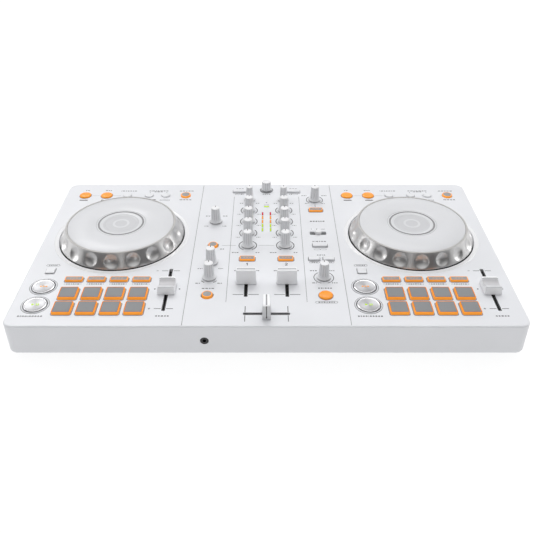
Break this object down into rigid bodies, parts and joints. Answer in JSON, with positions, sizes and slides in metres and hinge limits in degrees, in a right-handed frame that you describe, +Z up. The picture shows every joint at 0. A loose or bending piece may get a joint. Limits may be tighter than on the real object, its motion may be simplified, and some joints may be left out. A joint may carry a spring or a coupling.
{
  "type": "dj controller",
  "caption": "Flat table-top DJ controller with twin dimpled jog wheels, a central mixer with knobs and faders, square performance pads and rear connectors.",
  "frame": {"origin": "middle of the footprint, on the plane of the rubber feet", "axes": "+X to the right along the width, +Y to the rear connectors, +Z up; the player stands at -Y"},
  "size_m": [0.482, 0.2724, 0.0593],
  "materials": {
    "cover_white": "satin",
    "tray_grey": "matte",
    "foot_rubber": "matte",
    "steel": "satin",
    "board_green": "satin",
    "control_metal": "satin",
    "switch_black": "matte",
    "connector_steel": "satin",
    "connector_black": "satin",
    "lens": "gloss",
    "jog_silver": "polished metallic plating on plastic",
    "platter_grey": "satin",
    "knob_white": "satin",
    "pad_orange": "matte",
    "key_orange": "satin",
    "key_white": "satin",
    "transport_white": "spun satin"
  },
  "bodies": {
    "root": {"top_cover": "cover_white", "bottom_case": "tray_grey", "rubber_feet": "foot_rubber", "screws": "steel", "circuit_boards": "board_green", "rotary_pots": "control_metal", "fader_tracks": "control_metal", "key_switches": "switch_black", "jog_spindles": "steel", "usb_port": "connector_steel", "rca_jacks": "connector_steel", "mic_jack": "connector_black", "headphone_jack": "connector_black", "meter_lenses": "lens"},
    "jog_wheel_1": {"jog_ring_1": "jog_silver", "jog_platter_1": "platter_grey"},
    "jog_wheel_2": {"jog_ring_2": "jog_silver", "jog_platter_2": "platter_grey"},
    "channel_fader_cap_1": {"channel_fader_cap_1": "knob_white"},
    "channel_fader_cap_2": {"channel_fader_cap_2": "knob_white"},
    "crossfader_cap": {"crossfader_cap": "knob_white"},
    "tempo_fader_cap_1": {"tempo_fader_cap_1": "knob_white"},
    "tempo_fader_cap_2": {"tempo_fader_cap_2": "knob_white"},
    "trim_knob_1": {"trim_knob_1": "knob_white"},
    "high_knob_1": {"high_knob_1": "knob_white"},
    "mid_knob_1": {"mid_knob_1": "knob_white"},
    "low_knob_1": {"low_knob_1": "knob_white"},
    "filter_knob_1": {"filter_knob_1": "knob_white"},
    "trim_knob_2": {"trim_knob_2": "knob_white"},
    "high_knob_2": {"high_knob_2": "knob_white"},
    "mid_knob_2": {"mid_knob_2": "knob_white"},
    "low_knob_2": {"low_knob_2": "knob_white"},
    "filter_knob_2": {"filter_knob_2": "knob_white"},
    "master_level_knob": {"master_level_knob": "knob_white"},
    "phones_mix_knob": {"phones_mix_knob": "knob_white"},
    "phones_level_knob": {"phones_level_knob": "knob_white"},
    "mic_level_knob": {"mic_level_knob": "knob_white"},
    "effect_depth_knob": {"effect_depth_knob": "knob_white"},
    "browse_shaft": {"browse_shaft": "steel"},
    "browse_knob": {"browse_knob": "knob_white"},
    "effect_channel_switch": {"effect_channel_switch": "knob_white"},
    "pads_1": {"pads_1": "pad_orange"},
    "mode_keys_1": {"mode_keys_1": "key_orange"},
    "play_button_1": {"play_button_1": "transport_white"},
    "cue_button_1": {"cue_button_1": "transport_white"},
    "shift_button_1": {"shift_button_1": "key_white"},
    "loop_keys_1": {"loop_keys_1": "key_orange"},
    "sync_button_1": {"sync_button_1": "key_orange"},
    "pads_2": {"pads_2": "pad_orange"},
    "mode_keys_2": {"mode_keys_2": "key_orange"},
    "play_button_2": {"play_button_2": "transport_white"},
    "cue_button_2": {"cue_button_2": "transport_white"},
    "shift_button_2": {"shift_button_2": "key_white"},
    "loop_keys_2": {"loop_keys_2": "key_orange"},
    "sync_button_2": {"sync_button_2": "key_orange"},
    "load_keys": {"load_keys": "key_white"},
    "phones_cue_keys": {"phones_cue_keys": "key_orange"},
    "smart_keys": {"smart_keys": "key_orange"},
    "effect_keys": {"effect_keys": "key_white"},
    "effect_on_button": {"effect_on_button": "key_orange"}
  },
  "joints": [
    {"name": "jog_1_spin", "type": "hinge", "parent": "root", "child": "jog_wheel_1", "pos_m": [-0.157, 0.0185, 0.0413], "axis": [0, 0, 1], "continuous": true},
    {"name": "jog_2_spin", "type": "hinge", "parent": "root", "child": "jog_wheel_2", "pos_m": [0.157, 0.0185, 0.0413], "axis": [0, 0, 1], "continuous": true},
    {"name": "channel_fader_1_slide", "type": "slide", "parent": "root", "child": "channel_fader_cap_1", "axis": [0, 1, 0], "range_m": [-0.0198, 0.0198]},
    {"name": "channel_fader_2_slide", "type": "slide", "parent": "root", "child": "channel_fader_cap_2", "axis": [0, 1, 0], "range_m": [-0.0198, 0.0198]},
    {"name": "crossfader_slide", "type": "slide", "parent": "root", "child": "crossfader_cap", "axis": [1, 0, 0], "range_m": [-0.019, 0.019]},
    {"name": "tempo_fader_1_slide", "type": "slide", "parent": "root", "child": "tempo_fader_cap_1", "axis": [0, 1, 0], "range_m": [-0.03, 0.03]},
    {"name": "tempo_fader_2_slide", "type": "slide", "parent": "root", "child": "tempo_fader_cap_2", "axis": [0, 1, 0], "range_m": [-0.03, 0.03]},
    {"name": "trim_1_turn", "type": "hinge", "parent": "root", "child": "trim_knob_1", "pos_m": [-0.02, 0.097, 0.0413], "axis": [0, 0, 1], "range_deg": [-150, 150]},
    {"name": "high_1_turn", "type": "hinge", "parent": "root", "child": "high_knob_1", "pos_m": [-0.02, 0.0722, 0.0413], "axis": [0, 0, 1], "range_deg": [-150, 150]},
    {"name": "mid_1_turn", "type": "hinge", "parent": "root", "child": "mid_knob_1", "pos_m": [-0.02, 0.0475, 0.0413], "axis": [0, 0, 1], "range_deg": [-150, 150]},
    {"name": "low_1_turn", "type": "hinge", "parent": "root", "child": "low_knob_1", "pos_m": [-0.02, 0.0229, 0.0413], "axis": [0, 0, 1], "range_deg": [-150, 150]},
    {"name": "filter_1_turn", "type": "hinge", "parent": "root", "child": "filter_knob_1", "pos_m": [-0.02, -0.002, 0.0413], "axis": [0, 0, 1], "range_deg": [-150, 150]},
    {"name": "trim_2_turn", "type": "hinge", "parent": "root", "child": "trim_knob_2", "pos_m": [0.02, 0.097, 0.0413], "axis": [0, 0, 1], "range_deg": [-150, 150]},
    {"name": "high_2_turn", "type": "hinge", "parent": "root", "child": "high_knob_2", "pos_m": [0.02, 0.0722, 0.0413], "axis": [0, 0, 1], "range_deg": [-150, 150]},
    {"name": "mid_2_turn", "type": "hinge", "parent": "root", "child": "mid_knob_2", "pos_m": [0.02, 0.0475, 0.0413], "axis": [0, 0, 1], "range_deg": [-150, 150]},
    {"name": "low_2_turn", "type": "hinge", "parent": "root", "child": "low_knob_2", "pos_m": [0.02, 0.0229, 0.0413], "axis": [0, 0, 1], "range_deg": [-150, 150]},
    {"name": "filter_2_turn", "type": "hinge", "parent": "root", "child": "filter_knob_2", "pos_m": [0.02, -0.002, 0.0413], "axis": [0, 0, 1], "range_deg": [-150, 150]},
    {"name": "master_level_turn", "type": "hinge", "parent": "root", "child": "master_level_knob", "pos_m": [-0.057, 0.0475, 0.0413], "axis": [0, 0, 1], "range_deg": [-150, 150]},
    {"name": "phones_mix_turn", "type": "hinge", "parent": "root", "child": "phones_mix_knob", "pos_m": [-0.057, -0.034, 0.0413], "axis": [0, 0, 1], "range_deg": [-150, 150]},
    {"name": "phones_level_turn", "type": "hinge", "parent": "root", "child": "phones_level_knob", "pos_m": [-0.057, -0.0605, 0.0413], "axis": [0, 0, 1], "range_deg": [-150, 150]},
    {"name": "mic_level_turn", "type": "hinge", "parent": "root", "child": "mic_level_knob", "pos_m": [0.057, 0.097, 0.0413], "axis": [0, 0, 1], "range_deg": [-150, 150]},
    {"name": "effect_depth_turn", "type": "hinge", "parent": "root", "child": "effect_depth_knob", "pos_m": [0.057, -0.0605, 0.0413], "axis": [0, 0, 1], "range_deg": [-150, 150]},
    {"name": "browse_press", "type": "slide", "parent": "root", "child": "browse_shaft", "axis": [0, 0, -1], "range_m": [0, 0.0006], "stiffness_N_per_m": 600, "springref_m": -0.001},
    {"name": "browse_turn", "type": "hinge", "parent": "browse_shaft", "child": "browse_knob", "pos_m": [0, 0.1215, 0.0413], "axis": [0, 0, 1], "continuous": true},
    {"name": "effect_channel_slide", "type": "slide", "parent": "root", "child": "effect_channel_switch", "axis": [1, 0, 0], "range_m": [-0.005, 0.005]},
    {"name": "pads_1_press", "type": "slide", "parent": "root", "child": "pads_1", "axis": [0, 0, -1], "range_m": [0, 0.001], "stiffness_N_per_m": 600, "springref_m": -0.001},
    {"name": "mode_keys_1_press", "type": "slide", "parent": "root", "child": "mode_keys_1", "axis": [0, 0, -1], "range_m": [0, 0.001], "stiffness_N_per_m": 400, "springref_m": -0.001},
    {"name": "play_button_1_press", "type": "slide", "parent": "root", "child": "play_button_1", "axis": [0, 0, -1], "range_m": [0, 0.001], "stiffness_N_per_m": 400, "springref_m": -0.001},
    {"name": "cue_button_1_press", "type": "slide", "parent": "root", "child": "cue_button_1", "axis": [0, 0, -1], "range_m": [0, 0.001], "stiffness_N_per_m": 400, "springref_m": -0.001},
    {"name": "shift_button_1_press", "type": "slide", "parent": "root", "child": "shift_button_1", "axis": [0, 0, -1], "range_m": [0, 0.001], "stiffness_N_per_m": 400, "springref_m": -0.001},
    {"name": "loop_keys_1_press", "type": "slide", "parent": "root", "child": "loop_keys_1", "axis": [0, 0, -1], "range_m": [0, 0.001], "stiffness_N_per_m": 400, "springref_m": -0.001},
    {"name": "sync_button_1_press", "type": "slide", "parent": "root", "child": "sync_button_1", "axis": [0, 0, -1], "range_m": [0, 0.001], "stiffness_N_per_m": 400, "springref_m": -0.001},
    {"name": "pads_2_press", "type": "slide", "parent": "root", "child": "pads_2", "axis": [0, 0, -1], "range_m": [0, 0.001], "stiffness_N_per_m": 600, "springref_m": -0.001},
    {"name": "mode_keys_2_press", "type": "slide", "parent": "root", "child": "mode_keys_2", "axis": [0, 0, -1], "range_m": [0, 0.001], "stiffness_N_per_m": 400, "springref_m": -0.001},
    {"name": "play_button_2_press", "type": "slide", "parent": "root", "child": "play_button_2", "axis": [0, 0, -1], "range_m": [0, 0.001], "stiffness_N_per_m": 400, "springref_m": -0.001},
    {"name": "cue_button_2_press", "type": "slide", "parent": "root", "child": "cue_button_2", "axis": [0, 0, -1], "range_m": [0, 0.001], "stiffness_N_per_m": 400, "springref_m": -0.001},
    {"name": "shift_button_2_press", "type": "slide", "parent": "root", "child": "shift_button_2", "axis": [0, 0, -1], "range_m": [0, 0.001], "stiffness_N_per_m": 400, "springref_m": -0.001},
    {"name": "loop_keys_2_press", "type": "slide", "parent": "root", "child": "loop_keys_2", "axis": [0, 0, -1], "range_m": [0, 0.001], "stiffness_N_per_m": 400, "springref_m": -0.001},
    {"name": "sync_button_2_press", "type": "slide", "parent": "root", "child": "sync_button_2", "axis": [0, 0, -1], "range_m": [0, 0.001], "stiffness_N_per_m": 400, "springref_m": -0.001},
    {"name": "load_keys_press", "type": "slide", "parent": "root", "child": "load_keys", "axis": [0, 0, -1], "range_m": [0, 0.001], "stiffness_N_per_m": 400, "springref_m": -0.001},
    {"name": "phones_cue_keys_press", "type": "slide", "parent": "root", "child": "phones_cue_keys", "axis": [0, 0, -1], "range_m": [0, 0.001], "stiffness_N_per_m": 400, "springref_m": -0.001},
    {"name": "smart_keys_press", "type": "slide", "parent": "root", "child": "smart_keys", "axis": [0, 0, -1], "range_m": [0, 0.001], "stiffness_N_per_m": 400, "springref_m": -0.001},
    {"name": "effect_keys_press", "type": "slide", "parent": "root", "child": "effect_keys", "axis": [0, 0, -1], "range_m": [0, 0.001], "stiffness_N_per_m": 400, "springref_m": -0.001},
    {"name": "effect_on_button_press", "type": "slide", "parent": "root", "child": "effect_on_button", "axis": [0, 0, -1], "range_m": [0, 0.001], "stiffness_N_per_m": 400, "springref_m": -0.001}
  ]
}
